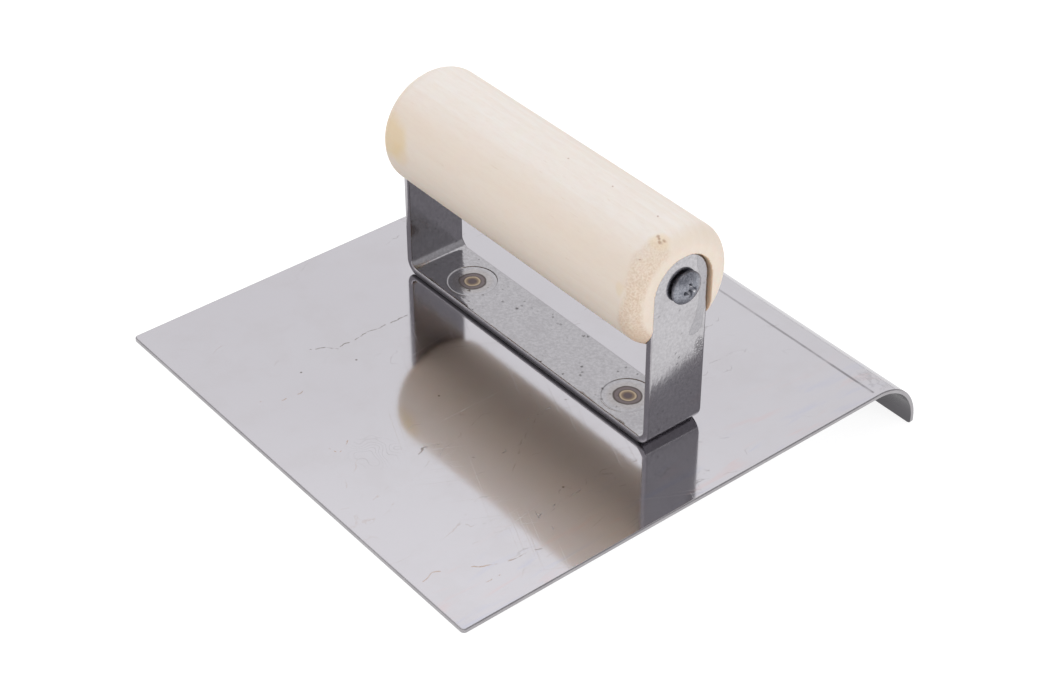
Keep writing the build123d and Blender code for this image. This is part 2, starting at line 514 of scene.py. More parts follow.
def stainless(name):
    """Cold-rolled stainless sheet: satin mirror, hairline stains, faint scratches and tints."""
    shader = Shader(name)
    x, y, _ = shader.axes()
    rolled = shader.streaks(1100.0, 25.0, 30.0, 3.0)
    cloudy = shader.noise(90.0, 4.0, 0.6)
    shader.base(shader.noise(18.0), rgb(209, 206, 211), rgb(216, 214, 218))
    shader.paint(cloudy.ramp(0.45, 0.7, 0.0, 0.25), rgb(205, 201, 203))

    tinted = shader.streaks(260.0, 45.0, 60.0, 3.0, 0.5, 0.6)
    near_end = x.ramp(45.0 * MM, 70.0 * MM)
    shader.paint(tinted.ramp(0.55, 0.7) * near_end, rgb(226, 196, 194), 0.28)
    shader.paint(tinted.ramp(0.45, 0.3) * near_end, rgb(190, 196, 222), 0.26)

    line = dry_lines(shader, shader.noise(230.0, 3.0))
    browner = y.ramp(-45.0 * MM, -62.0 * MM)
    shader.paint(line, shader.tint(browner, rgb(104, 94, 76), rgb(180, 146, 114)), 0.58)
    shader.paint(ripples(shader), rgb(120, 116, 114))
    for along, across in PLATE_SPECKS:
        speck = shader.spot((along * MM, across * MM, blade_top), 0.15 * MM, 0.45 * MM)
        shader.paint(speck, rgb(92, 82, 66), 0.7)

    shader.paint(press_mark(shader, x, y), rgb(112, 109, 111))
    grit = shader.noise(420.0, 4.0, 0.7).ramp(0.46, 0.60)
    scuff = shader.spot(SCUFF_SPOT, 2.0 * MM, 8.0 * MM) * grit * 0.35
    shader.paint(scuff, rgb(160, 158, 161))

    # painted light and shade: the sheet's colour is made lighter towards the front corner and darker on
    # the lip's roll where it faces +Y
    painted_corner_light = (x - y).ramp(0.0, 150.0 * MM, 0.985, 1.12)
    painted_crest_shade = shader.axes(shader.normal)[1].ramp(0.45, 0.68, 1.0, 0.86)
    shader.shade(painted_corner_light * painted_crest_shade * 0.83)

    # traces stay out of the bumps: a bump works out its height three times, and with a trace's
    # many nodes in it the sheet rendered black
    marks = shader.combine("ADD", [scratches(shader, *scratch) for scratch in SCRATCHES])
    long_scratch = trace(shader, shader.place, LONG_SCRATCH, 0.3 * MM)
    roughness = (0.05 + cloudy * 0.04 + rolled * 0.03 + line * 0.25 + marks * 0.08 + scuff * 0.3
                 + long_scratch * 0.12)
    shader.bump(rolled, 0.0007 * MM)
    shader.bump(marks, -0.0015 * MM)
    return shader.finish(roughness, Specular_Tint=(0.84, 0.84, 0.84, 1.0))


def working_face(name):
    """The sheet's underside, which works the concrete: rubbed along X, with painted shade inside the lip's
    roll.
    """
    shader = Shader(name)
    cloudy = shader.noise(70.0, 4.0, 0.6)
    rubbed = shader.streaks(40.0, 1400.0, 1400.0, 3.0)
    shader.base(cloudy, rgb(158, 156, 159), rgb(184, 182, 185))
    # painted shade: darker grey inside the lip's roll
    lip_roll_shade = shader.axes()[1].ramp(lip_tangent - 5.0 * MM, lip_tangent + 2.0 * MM)
    shader.paint(lip_roll_shade, shader.tint(cloudy, rgb(80, 79, 82), rgb(102, 100, 103)))
    shader.bump(rubbed, 0.001 * MM)
    return shader.finish(0.18 + cloudy * 0.1 + rubbed * 0.08)


def sheared_edge(name):
    """The cut and rounded edge of the sheet: duller and greyer, with fine cross-wise tearing."""
    shader = Shader(name)
    torn = shader.streaks(900.0, 900.0, 200.0, 3.0)
    shader.base(shader.noise(160.0), rgb(150, 147, 150), rgb(178, 176, 178))
    shader.bump(torn, 0.01 * MM)
    return shader.finish(0.28 + torn * 0.18)


# ---- bracket's materials -------------------------------------------------------------------

# rings that the heat left round a weld, in millimetres: inner and outer radius, softness of the
# sides, strength, tone
HEAT_RINGS = [(0.0, 5.0, 1.4, 0.25, (160, 150, 140)), (0.0, 3.9, 0.35, 0.94, (82, 74, 71)),
              (2.8, 3.4, 0.3, 0.75, (122, 112, 114)), (0.0, 2.2, 0.3, 0.85, (184, 166, 142)),
              (0.0, 1.6, 0.5, 0.88, (116, 100, 86)), (0.0, 0.9, 0.7, 0.8, (86, 77, 84))]
EAR_CRACKLE = (ear_outer, 16.4 * MM, blade_top + 26.5 * MM)


def ring_band(distance, inner, outer, soft):
    """1 between two radii in millimetres, with soft sides."""
    rise = distance.ramp((inner - soft) * MM, inner * MM)
    fall = distance.ramp(outer * MM, (outer + soft) * MM, 1.0, 0.0)
    return rise * fall


def weld_marks(shader, x, y, z):
    """Paints the heat rings and the electrode's rim round each weld, and returns where it is burnt."""
    exact = shader.plan_distance(abs(x) - WELD_OFFSET, y - strap_centre)
    uneven = exact + (shader.noise(260.0) - 0.5) * (0.7 * MM)
    on_top = (z.ramp(strap_top - 0.9 * MM, strap_top - 0.6 * MM)
              * z.ramp(strap_top + 0.9 * MM, strap_top + 0.6 * MM))
    for inner, outer, soft, strength, tone in HEAT_RINGS:
        band = ring_band(uneven, inner, outer, soft)
        shader.paint(band * on_top, rgb(*tone), strength)
    rim = ring_band(exact, 7.05, 7.25, 0.12)
    shader.paint(rim * on_top, rgb(88, 84, 84), 0.35)
    return ring_band(uneven, 0.0, 3.9, 0.4) * on_top


def ear_stain(shader):
    """A bowed water mark down the rear side of the front ear: 1 inside it, and 1 on its rim."""
    x, y, z = shader.axes(shader.wander(330.0, 1.8 * MM))
    rise = z - (blade_top + 45 * MM)
    bow = 17.0 * MM - rise * rise * 13.0
    off = abs(y - bow) - rise * rise * 4.0
    ends = abs(rise).ramp(15.0 * MM, 13.0 * MM)
    field = off.ramp(2.4 * MM, 0.2 * MM) * ends
    front = x.ramp(ear_outer - 1.2 * MM, ear_outer - 0.8 * MM)
    inside = field.ramp(0.48, 0.60) * front
    rim = field.ramp(0.36, 0.50) * field.ramp(0.66, 0.52) * front
    return inside, rim


def bracket_steel(name):
    """Flat bar with a grey mill finish: speckled, pitted, water-marked, heat-tinted at the welds."""
    shader = Shader(name)
    x, y, z = shader.axes()
    mottle = shader.noise(1200.0, 4.0, 0.65)
    patch = shader.noise(110.0, 3.0, 0.55)
    scattered = shader.cells(430.0, shader.wander(1500.0, 0.9 * MM)).ramp(0.24, 0.12)
    in_patches = shader.noise(130.0).ramp(0.50, 0.62)
    pits = scattered * in_patches * abs(x).ramp(50.0 * MM, 30.0 * MM, 0.35, 1.0)
    shader.base(mottle.ramp(0.3, 0.7), rgb(178, 176, 179), rgb(196, 194, 197))
    shader.paint(patch.ramp(0.5, 0.75, 0.0, 0.35), rgb(166, 163, 166))
    shader.paint(pits, rgb(58, 54, 54), 0.8)
    # painted shade: the colour is scaled by 0.92, down to 0.82 where the surface faces up
    shader.shade(shader.axes(shader.normal)[2].ramp(0.5, 0.9, 0.92, 0.82))

    stain, stain_rim = ear_stain(shader)
    shader.paint(stain, rgb(150, 149, 153), 0.4)
    shader.paint(stain_rim, rgb(130, 128, 131), 0.4)
    on_front = x.ramp(ear_outer - 0.8 * MM, ear_outer - 0.4 * MM)
    crazed = shader.borders(1200.0, shader.wander(1100.0, 1.3 * MM))
    around = shader.oval(EAR_CRACKLE, 0.6 * MM, 2.2 * MM, 1.7)
    crackle = crazed.ramp(0.05, 0.22, 1.0, 0.0) * around * on_front
    shader.paint(crackle, rgb(96, 94, 96), 0.6)
    burnt = weld_marks(shader, x, y, z)

    roughness = 0.09 + mottle * 0.07 + patch * 0.04 + burnt * 0.16 + stain * 0.06
    shader.lean(on_front * y.ramp(18.5 * MM, -0.5 * MM, -0.008, 0.036))
    shader.bump(shader.streaks(120.0, 300.0, 130.0, 3.0, 0.6), 0.06 * MM)
    shader.bump(mottle, 0.002 * MM)
    shader.bump(shader.streaks(300.0, 1900.0, 60.0, 3.0), 0.002 * MM)
    shader.bump(stain_rim, 0.006 * MM)
    shader.bump(crackle, 0.03 * MM)
    shader.bump(pits, -0.03 * MM)
    return shader.finish(roughness)


def bracket_edge(name):
    """The strap's rolled edge: smoother and darker than its faces, with painted shadow along its joint
    with the blade.
    """
    shader = Shader(name)
    fine = shader.noise(1400.0, 3.0)
    shader.base(shader.noise(300.0, 3.0), rgb(152, 149, 153), rgb(178, 175, 178))
    # painted shadow: dark colour along the bottom of the edge, where it meets the blade
    joint_shadow = shader.axes()[2].ramp(blade_top + 1.5 * MM, blade_top + 0.7 * MM)
    shader.paint(joint_shadow, rgb(58, 56, 58), 0.85)
    shader.bump(fine, 0.001 * MM)
    return shader.finish(0.16 + fine * 0.08 + joint_shadow * 0.2)


# ---- fasteners' materials ------------------------------------------------------------------

# places of the painted glints on the recess's walls
GLINT_SPOTS = [(1.1, -0.35), (0.1, -1.5)]    # on a screw's head, in millimetres from its middle


def screw_zinc(name):
    """Dull blue-grey zinc plating, speckled, with two painted glints in the cross recess."""
    shader = Shader(name)
    x, y, z = shader.axes()
    speckle = shader.noise(2200.0, 3.0, 0.6)
    shader.base(speckle.ramp(0.35, 0.65), rgb(126, 128, 136), rgb(166, 168, 176))
    shader.paint(shader.noise(500.0).ramp(0.5, 0.7, 0.0, 0.5), rgb(112, 115, 124))
    # painted glints: near-white colour on two spots of the head's recess
    glints = []
    for across, up in GLINT_SPOTS:
        mirrored = shader.math("SIGN", x) * (across * MM)
        offset = y - screw_y - mirrored
        distance = shader.plan_distance(offset, z - (screw_z + up * MM))
        glints.append(distance.ramp(0.35 * MM, 0.6 * MM, 1.0, 0.0))
    raised = (abs(x) - ear_outer).ramp(0.9 * MM, 1.3 * MM)
    shader.paint(shader.combine("MAXIMUM", glints) * raised, rgb(246, 246, 248))
    shader.bump(speckle, 0.012 * MM)
    return shader.finish(0.3 + speckle * 0.22)


def weld_steel(name):
    """Fused nugget: coarse grey metal."""
    shader = Shader(name)
    grain = shader.cells(1800.0)
    shader.base(shader.noise(500.0), rgb(120, 112, 108), rgb(170, 158, 146))
    shader.bump(grain, 0.02 * MM)
    return shader.finish(0.35 + grain * 0.2)


# ---- handle's material ---------------------------------------------------------------------

def on_handle(x, degrees, drop=0.0):
    """A point of the handle's surface, in millimetres and degrees from +Y over the top.

    drop is how far the end's round has dipped there."""
    turn = radians(degrees)
    radius = handle_radius - drop * MM
    return (x * MM, strap_centre + radius * cos(turn), axis_height + radius * sin(turn))


# yellowish patches (middle, reach, strength) and brown specks (middle, reach) of the wood
AMBER_PATCHES = [(on_handle(-47, 168), 6.0 * MM, 0.55), (on_handle(-42, 178), 3.6 * MM, 0.3),
                 (on_handle(46, -20), 6 * MM, 0.4), (on_handle(49.6, 109, 0.3), 2.6 * MM, 0.35),
                 (on_handle(48.2, 163), 1.6 * MM, 0.25)]
WOOD_SPECKS = [(on_handle(48.7, 107, 0.15), 0.5 * MM), (on_handle(50.7, 106, 0.8), 0.5 * MM),
               (on_handle(50.2, 110, 0.7), 0.6 * MM), (on_handle(49.4, 108, 0.35), 0.4 * MM),
               (on_handle(49.3, 132, 0.35), 0.25 * MM), (on_handle(8.5, 91), 0.3 * MM),
               (on_handle(25.6, 90), 0.3 * MM), (on_handle(43, 91), 0.3 * MM),
               (on_handle(-20, 20), 0.8 * MM)]
PITH = (0.0, strap_centre - 46 * MM, axis_height + 28 * MM)    # the tree's middle, beside the handle
GROWTH_RING = 3.4 * MM                # from one year's ring to the next


def late_wood(shader):
    """The darker part of each growth ring."""
    section = shader.vector("MULTIPLY", shader.vector("SUBTRACT", shader.place, PITH), (0.06, 1.0, 1.0))
    warp = shader.streaks(9.0, 45.0, 45.0) * (7.0 * MM)
    growth = shader.measure("LENGTH", section) + warp
    ring = shader.math("FRACT", growth * (1 / GROWTH_RING))
    return ring.ramp(0.1, 0.85) * ring.ramp(1.0, 0.93)


def handle_wood(name):
    """Raw pale hardwood: faint lengthwise grain, growth rings, flecks, tan torn end grain."""
    shader = Shader(name)
    end_grain = shader.attribute("end_grain")
    up = shader.axes(shader.normal)[2]
    streak = shader.streaks(14.0, 330.0, 330.0, 4.0, 0.6)
    fibre = shader.streaks(60.0, 2600.0, 2600.0, 3.0, 0.6)
    fuzz = shader.streaks(220.0, 1000.0, 1000.0, 5.0, 0.7)
    blotch = shader.streaks(26.0, 60.0, 60.0)
    fleck = shader.streaks(260.0, 2300.0, 2300.0, 1.0).ramp(0.72, 0.8)
    # painted light and shade: paler and cooler where the surface faces up, warmer and darker where it
    # faces down
    shader.base(up.ramp(0.62, 1.0), rgb(229, 217, 203), rgb(234, 228, 221))
    shader.paint(up.ramp(-0.25, -0.85, 0.0, 0.75), rgb(222, 204, 182))
    shader.paint(streak.ramp(0.35, 0.7, 0.0, 0.16), rgb(224, 208, 191))
    shader.paint(fuzz.ramp(0.4, 0.7, 0.0, 0.20), rgb(220, 203, 188))
    shader.paint(late_wood(shader), rgb(222, 203, 182), 0.10)
    shader.paint(blotch.ramp(0.5, 0.8, 0.0, 0.22), rgb(230, 213, 196))
    shader.paint(fleck, rgb(196, 168, 140), 0.22)
    soaked = shader.wander(120.0, 5.0 * MM)
    for centre, reach, strength in AMBER_PATCHES:
        patch = shader.spot(centre, 0.6 * reach, 1.3 * reach, soaked)
        shader.paint(patch, rgb(224, 198, 148), strength)

    crumb = shader.noise(1900.0, 3.0, 0.65)
    torn = shader.tint(crumb.ramp(0.3, 0.7), rgb(202, 175, 147), rgb(230, 215, 198))
    # painted shade: the torn end grain gets darker and browner where it faces down
    torn = shader.tint(up.ramp(-0.1, -0.8, 0.0, 0.6), torn, rgb(206, 168, 132))
    shader.paint(end_grain * up.ramp(0.9, 0.2, 0.35, 0.75), torn)
    shader.paint(shader.attribute("cut"), rgb(188, 158, 128), 0.85)
    ragged = shader.wander(900.0, 1.0 * MM)
    for centre, reach in WOOD_SPECKS:
        speck = shader.spot(centre, 0.5 * reach, 1.4 * reach, ragged)
        shader.paint(speck, rgb(158, 114, 86), 0.6)

    pore = shader.cells(1800.0).ramp(0.25, 0.1)
    shader.bump(streak, 0.015 * MM)
    shader.bump(fuzz, 0.02 * MM)
    shader.bump(fibre, 0.01 * MM)
    shader.bump(crumb * end_grain, 0.12 * MM)
    shader.bump(pore * end_grain, -0.05 * MM)
    roughness = 0.55 + fibre * 0.12 + end_grain * 0.12
    return shader.finish(roughness, metallic=0.0, specular=0.3,
                         Subsurface_Weight=0.12, Subsurface_Scale=2.0 * MM)


# ---- blade ---------------------------------------------------------------------------------

WAVE_HEIGHT = 0.02 * MM
CREASE_DEPTH = 0.045 * MM
CREASE_HALF_WIDTH = 0.16 * MM


def blade_wave(x, y):
    """Height of the sheet's slight unevenness at a point."""
    crossed = np.sin(61 * x + 23 * y + 0.6) + np.sin(37 * y - 29 * x + 2.1)
    return WAVE_HEIGHT * crossed * np.cos(18 * x + 1.0)


def place_blade(a, b, depth):
    """Blade's flat sheet into space: a along the lip, b from the front edge to the lip's end."""
    along, up = fold(b, depth, lip_tangent - blade_front, LIP_OUTER_RADIUS, -1)
    y = blade_front + along
    return np.stack([a, y, blade_top + up + blade_wave(a, y) * smooth(lip_tangent - y, 0, 15 * MM)], 1)


def blade_relief(a, b):
    """Depth of the press mark along the lip's tangent line."""
    off = (blade_front + b - CREASE_Y) / CREASE_HALF_WIDTH
    return CREASE_DEPTH * np.exp(-off * off) * smooth(CREASE_END - a, 0, 1.0 * MM)


def make_blade(metal, edge, underside):
    flat_length = (lip_tangent - blade_front) + LIP_OUTER_RADIUS * pi / 2 + (blade_top - LIP_OUTER_RADIUS)
    crease = CREASE_Y - blade_front
    corner = BLADE_CORNER * np.array([0.0, 0.35, 0.6, 0.8, 1.0])
    inner = blade_half - BLADE_CORNER
    a_lines = joined(corner - blade_half, steps(-inner, inner, 1.5 * MM), blade_half - corner)
    fine = MM * np.array([0.0, 0.07, 0.14, 0.22, 0.32, 0.5])
    near_crease = crease + joined(-fine, fine)
    b_lines = joined(corner, steps(BLADE_CORNER, crease - 0.5 * MM, 1.5 * MM), near_crease,
                     steps(crease + 0.5 * MM, flat_length - BLADE_CORNER, 0.8 * MM), flat_length - corner)
    a, b = np.meshgrid(a_lines, b_lines, indexing="ij")

    over_a = np.maximum(abs(a) - inner, 0)
    over_b = np.maximum(abs(b - flat_length / 2) - (flat_length / 2 - BLADE_CORNER), 0)
    round_a, round_b = rounded(over_a, over_b)
    a = np.sign(a) * (abs(a) - over_a + round_a)
    b = b + np.sign(b - flat_length / 2) * (round_b - over_b)

    kept = np.ones((len(a_lines) - 1, len(b_lines) - 1), bool)
    rounds = (BLADE_EDGE_ROUND, SHEARED_BREAK)
    points, faces, numbers = sheet_solid(np.stack([a, b]), kept, SHEET, rounds, 0.0,
                                         place_blade, blade_relief, underside=2)
    return new_piece("edger_blade", points, faces, [metal, edge, underside], numbers)


# ---- strap bracket -------------------------------------------------------------------------

BEND_START = ear_inner - STRAP_BEND
BEND_RUN = STRAP_BEND * pi / 2
BEND_SWELL = 0.016                    # how much wider the bend's squeezed inside gets
EAR_CENTRE = BEND_START + BEND_RUN + ear_centre - (strap_top + STRAP_BEND)

# electrode marks, in millimetres: the sunk disc, its crater, and (radius, height, width) of rings
MARK_RADIUS = 7.3
MARK_DEPTH = 0.13
CRATER_RADIUS = 2.4
CRATER_DEPTH = 0.03
RAISED_RINGS = [(7.42, 0.03, 0.12), (3.9, 0.02, 0.25)]


def place_strap(a, b, depth):
    """Strap's flat bar into space: a along it from the middle, b across it."""
    side = np.sign(a)
    along, up = fold(abs(a), depth, BEND_START, STRAP_BEND, 1)
    turn = np.clip((abs(a) - BEND_START) / STRAP_BEND, 0, pi / 2)
    swell = 1 + BEND_SWELL * np.sin(2 * turn) ** 2 * (1 - depth / STRAP)
    return np.stack([side * along, strap_centre + b * swell, strap_top + up], 1)


def strap_relief(a, b):
    """Depth of the two electrode marks: sunk disc, raised rims, small crater."""
    r = np.hypot(abs(a) - WELD_OFFSET, b) / MM
    sunk = MARK_DEPTH * smooth(MARK_RADIUS - r, 0, 0.28) + CRATER_DEPTH * smooth(CRATER_RADIUS - r, 0, 0.8)
    raised = sum(height * np.exp(-((r - radius) / width) ** 2) for radius, height, width in RAISED_RINGS)
    return (sunk - raised) * MM


def make_bracket(metal, edge):
    # lines of the grid close together over the electrode mark's rim and the ear hole's edge
    reach = MM * np.array([0, 0.6, 1.2, 1.8, 2.3, 2.8, 3.3, 3.7, 3.9, 4.1, 4.7, 5.4, 6.2, 6.8,
                           7.0, 7.1, 7.2, 7.3, 7.4, 7.5, 7.7, 8.2, 8.75])
    b_lines = joined(-reach, reach, [-strap_half, strap_half])
    positive = joined(steps(0, WELD_OFFSET - strap_half, 1.2 * MM), WELD_OFFSET + b_lines,
                      steps(WELD_OFFSET + strap_half, BEND_START, 0.9 * MM),
                      steps(BEND_START, BEND_START + BEND_RUN, 0.35 * MM),
                      steps(BEND_START + BEND_RUN, EAR_CENTRE - strap_half, 1.5 * MM),
                      EAR_CENTRE + b_lines)
    a_lines = joined(-positive, positive)
    a, b = np.meshgrid(a_lines, b_lines, indexing="ij")

    # grid squares become circles round the welds and the ear holes, exact up to a radius, and at
    # the ears' round tops
    for centre, exact, is_end in ((WELD_OFFSET, 7.7 * MM, False), (EAR_CENTRE, 4.0 * MM, True)):
        local = abs(a) - centre
        half = np.maximum(abs(local), abs(b))
        weight = smooth(strap_half - half, 0, strap_half - exact)
        if is_end:
            weight = np.where(local > 0, 1.0, weight)
        inside = half <= strap_half + 1e-9
        round_a, round_b = rounded(local, b)
        a = np.where(inside, np.sign(a) * (centre + local + weight * (round_a - local)), a)
        b = np.where(inside, b + weight * (round_b - b), b)

    # the holes were punched a little off the middle of the ears
    from_hole = np.hypot(abs(a) - EAR_CENTRE, b)
    b = b + (screw_y - strap_centre) * smooth(strap_half - from_hole, 0.2 * MM, 5.2 * MM)

    middle_a = (a_lines[:-1] + a_lines[1:]) / 2
    middle_b = (b_lines[:-1] + b_lines[1:]) / 2
    in_hole = np.maximum(abs(abs(middle_a) - EAR_CENTRE)[:, None], abs(middle_b)[None, :]) < EAR_HOLE
    rounds = (STRAP_EDGE_ROUND, STRAP_EDGE_ROUND)
    points, faces, numbers = sheet_solid(np.stack([a, b]), ~in_hole, STRAP, rounds, HOLE_EDGE_ROUND,
                                         place_strap, strap_relief)
    return new_piece("strap_bracket", points, faces, [metal, edge], numbers)


# ---- screws --------------------------------------------------------------------------------

DOME_RADIUS = 7.6 * MM
RECESS_TURN = radians(5)              # where the driver left the recess
RECESS_DEPTH = 2.0 * MM
RECESS_REACH = 2.3 * MM               # of a wing, from the middle of the head
RECESS_HALF_SLOT = 0.62 * MM
RECESS_CENTRE = 1.25 * MM             # radius of the round middle between the wings
# (radius, height) in millimetres down the head's shoulder and flank, its seat and the neck
SCREW_PROFILE = [(4.54, 1.53), (4.66, 1.40), (4.73, 1.26), (4.75, 1.1), (4.75, 0.8), (4.68, 0.68),
                 (4.5, 0.62), (3.6, 0.6), (3.5, 0.52), (3.5, 0.0), (2.8, 0.0), (2.2, -0.12),
                 (2.1, -0.4), (2.1, -3.2)]
THREAD_START = 3.5 * MM
THREAD_PITCH = 1.6 * MM
THREAD_CREST = 2.4 * MM
THREAD_CORE = 1.7 * MM
SCREW_NECK = 2.1 * MM


def head_surface(u, v):
    """Height of the head's top above its seat, with the cross recess."""
    r = np.hypot(u, v)
    dome = HEAD_HEIGHT - DOME_RADIUS + np.sqrt(DOME_RADIUS ** 2 - r ** 2)
    deepest = np.zeros_like(r)
    for turn in (RECESS_TURN, RECESS_TURN + pi / 2):
        along = abs(u * cos(turn) + v * sin(turn))
        across = abs(v * cos(turn) - u * sin(turn))
        taper = np.clip((RECESS_REACH - along) / (1.2 * MM), 0, 1)
        wall = smooth(RECESS_HALF_SLOT - across, 0, 0.22 * MM)
        deepest = np.maximum(deepest, taper * wall)
    centre = smooth(RECESS_CENTRE - r, 0, 0.4 * MM)
    return dome - RECESS_DEPTH * np.maximum(deepest, centre * 0.9)


def screw_rings(angles):
    """(radius, height) of the loops below the head's top, from its shoulder to the point."""
    for radius, height in SCREW_PROFILE:
        yield np.full_like(angles, radius * MM), height * MM
    for depth in steps(THREAD_START, SCREW_LENGTH - 0.05 * MM, 0.25 * MM):
        phase = depth / THREAD_PITCH - angles / (2 * pi)
        tooth = abs((phase - np.floor(phase)) * 2 - 1)
        crest = smooth(tooth, 0.45, 0.95)
        fade_in = smooth(depth, THREAD_START, THREAD_START + 2 * MM)
        taper = smooth(SCREW_LENGTH - depth, -1.0 * MM, 6.5 * MM)
        neck = SCREW_NECK + (THREAD_CORE - SCREW_NECK) * fade_in
        yield (neck + (THREAD_CREST - THREAD_CORE) * crest * fade_in) * taper, -depth


def make_screw(name, side, metal):
    """A screw in one end: side is 1 in the front ear and -1 in the rear one."""
    fine = np.linspace(-2.8 * MM, 2.8 * MM, 41)
    outer = MM * np.array([3.1, 3.5, 3.9, 4.2, 4.4])
    lines = joined(-outer, fine, outer)
    u, v = rounded(*np.meshgrid(lines, lines, indexing="ij"))
    size = len(lines)
    height = head_surface(u, v)
    points = [np.stack([u.ravel(), v.ravel(), height.ravel()], 1)]
    faces = []
    for i in range(size - 1):
        for j in range(size - 1):
            corner = i * size + j
            faces.append((corner, corner + size, corner + size + 1, corner + 1))

    rim = outline_loops(np.ones((size - 1, size - 1), bool))[0]
    previous = [i * size + j for i, j in rim]
    angles = np.array([np.arctan2(v[i, j], u[i, j]) for i, j in rim])
    total = size * size
    for radius, level in screw_rings(angles):
        ring = [radius * np.cos(angles), radius * np.sin(angles), np.full_like(angles, level)]
        points.append(np.stack(ring, 1))
        current = list(range(total, total + len(rim)))
        faces += strip(previous, current)
        previous = current
        total += len(rim)
    faces.append(tuple(reversed(previous)))
    u, v, out = np.concatenate(points).T
    placed = np.stack([side * (ear_outer + out), screw_y + side * u, screw_z + v], 1)
    return new_piece(name, placed, faces, [metal])


# ---- wooden handle -------------------------------------------------------------------------

def lathe(name, profile, segments, centre):
    """A closed turned solid about an axis along X, from (x, radius) pairs; centre is its (y, z)."""
    angles = np.arange(segments) * 2 * pi / segments
    points, faces = [(profile[0][0], *centre)], []
    previous = None
    for x, radius in profile:
        start = len(points)
        for t in angles:
            points.append((x, centre[0] + radius * cos(t), centre[1] + radius * sin(t)))
        current = list(range(start, start + segments))
        if previous is None:
            faces += [(0, current[(k + 1) % segments], current[k]) for k in range(segments)]
        else:
            faces += [(previous[k], previous[(k + 1) % segments], current[(k + 1) % segments], current[k])
                      for k in range(segments)]
        previous = current
    points.append((profile[-1][0], *centre))
    faces += [(len(points) - 1, previous[k], previous[(k + 1) % segments]) for k in range(segments)]
    return new_piece(name, points, faces, [])


def slot_cutter(side):
    """Prism of the ear's outline, with a round top, open downwards, from the ear outwards."""
    outline = [(slot_half * cos(t), slot_half * sin(t)) for t in np.linspace(0, pi, 49)]
    outline += [(-slot_half, -1.5 * handle_radius), (slot_half, -1.5 * handle_radius)]
    near, far = side * ear_inner, side * (handle_half + 5 * MM)
    points = [(near, strap_centre + y, ear_centre + z) for y, z in outline]
    points += [(far, strap_centre + y, ear_centre + z) for y, z in outline]
    count = len(outline)
    faces = [(k, (k + 1) % count, count + (k + 1) % count, count + k) for k in range(count)]
    faces += [tuple(reversed(range(count))), tuple(range(count, 2 * count))]
    if side < 0:
        faces = [tuple(reversed(face)) for face in faces]
    cutter = new_piece("slot_cutter", points, faces, [])
    cutter.data.update()
    return cutter


def bore_cutter(side):
    """Rod in the place of a screw's bore."""
    ends = sorted((side * (ear_outer - SCREW_LENGTH), side * handle_half))
    return lathe("bore_cutter", [(x, SCREW_BORE) for x in ends], 32, (screw_y, screw_z))


END_FLATNESS = 1.29                   # power of the end's round: 1 is a circle, more is flatter
VOXEL = 0.42 * MM


def turned_body():
    """The handle as it comes off the lathe, with rounded ends."""
    flat = handle_radius - HANDLE_END_ROUND
    body_end = handle_half - HANDLE_END_ROUND
    right = []
    for t in np.linspace(0, pi / 2, 13):
        out, up = HANDLE_END_ROUND * sin(t) ** END_FLATNESS, HANDLE_END_ROUND * cos(t) ** END_FLATNESS
        right.append((body_end + out, flat + up))
    left = [(-x, radius) for x, radius in reversed(right)]
    straight = [(x, handle_radius) for x in steps(-body_end, body_end, 4 * MM)[1:-1]]
    return lathe("handle_body", left + straight + right, 180, (strap_centre, axis_height))


def carve_handle():
    """The turned body with its slots and screw bores, as an even mesh."""
    body = turned_body()
    cutters = [slot_cutter(1), slot_cutter(-1), bore_cutter(-1), bore_cutter(1)]
    for cutter in cutters:
        cut = body.modifiers.new("cut", "BOOLEAN")
        cut.operation = "DIFFERENCE"
        cut.solver = "EXACT"
        cut.object = cutter
    even = body.modifiers.new("even", "REMESH")
    even.mode = "VOXEL"
    even.voxel_size = VOXEL
    soften = body.modifiers.new("soften", "SMOOTH")
    soften.factor = 0.5
    soften.iterations = 4
    bpy.context.view_layer.update()
    graph = bpy.context.evaluated_depsgraph_get()
    mesh = bpy.data.meshes.new_from_object(body.evaluated_get(graph))
    for tool in cutters + [body]:
        bpy.data.objects.remove(tool)
    return mesh


def slot_mask(run, y, above_ear):
    """1 on the faces that the slots' cutter left."""
    reach = slot_half + 0.25 * MM
    beside_ear = (above_ear < 0) | (np.hypot(y, above_ear) < reach)
    in_slot = (run > ear_inner - 0.3 * MM) & (abs(y) < reach) & beside_ear
    return np.where(in_slot, 1.0, 0.0)


def end_grain_mask(x, y, z, ragged, lumps):
    """Torn end grain where the rounding begins: on one side of the front end, faint on the rear end."""
    body_end = handle_half - HANDLE_END_ROUND
    turn = np.degrees(np.arctan2(z, y)) % 360
    lower_side = smooth(turn, 100, 120) * (1 - smooth(turn, 262, 288))
    share = np.where(x > 0, 0.04 + 0.96 * lower_side, 0.35)
    edge = abs(x) + ragged * 1.6 * MM + lumps * 1.2 * MM
    near = smooth(edge, body_end - 1.0 * MM, body_end + 1.0 * MM)
    ridge = smooth(np.hypot(y, z) + ragged * 0.8 * MM, 12.9 * MM, 14.6 * MM)
    return near * (0.12 + 0.88 * ridge) * share


def vertex_vectors(mesh, attribute):
    """A vector of each vertex, as rows."""
    values = np.empty(len(mesh.vertices) * 3)
    mesh.vertices.foreach_get(attribute, values)
    return values.reshape(-1, 3)


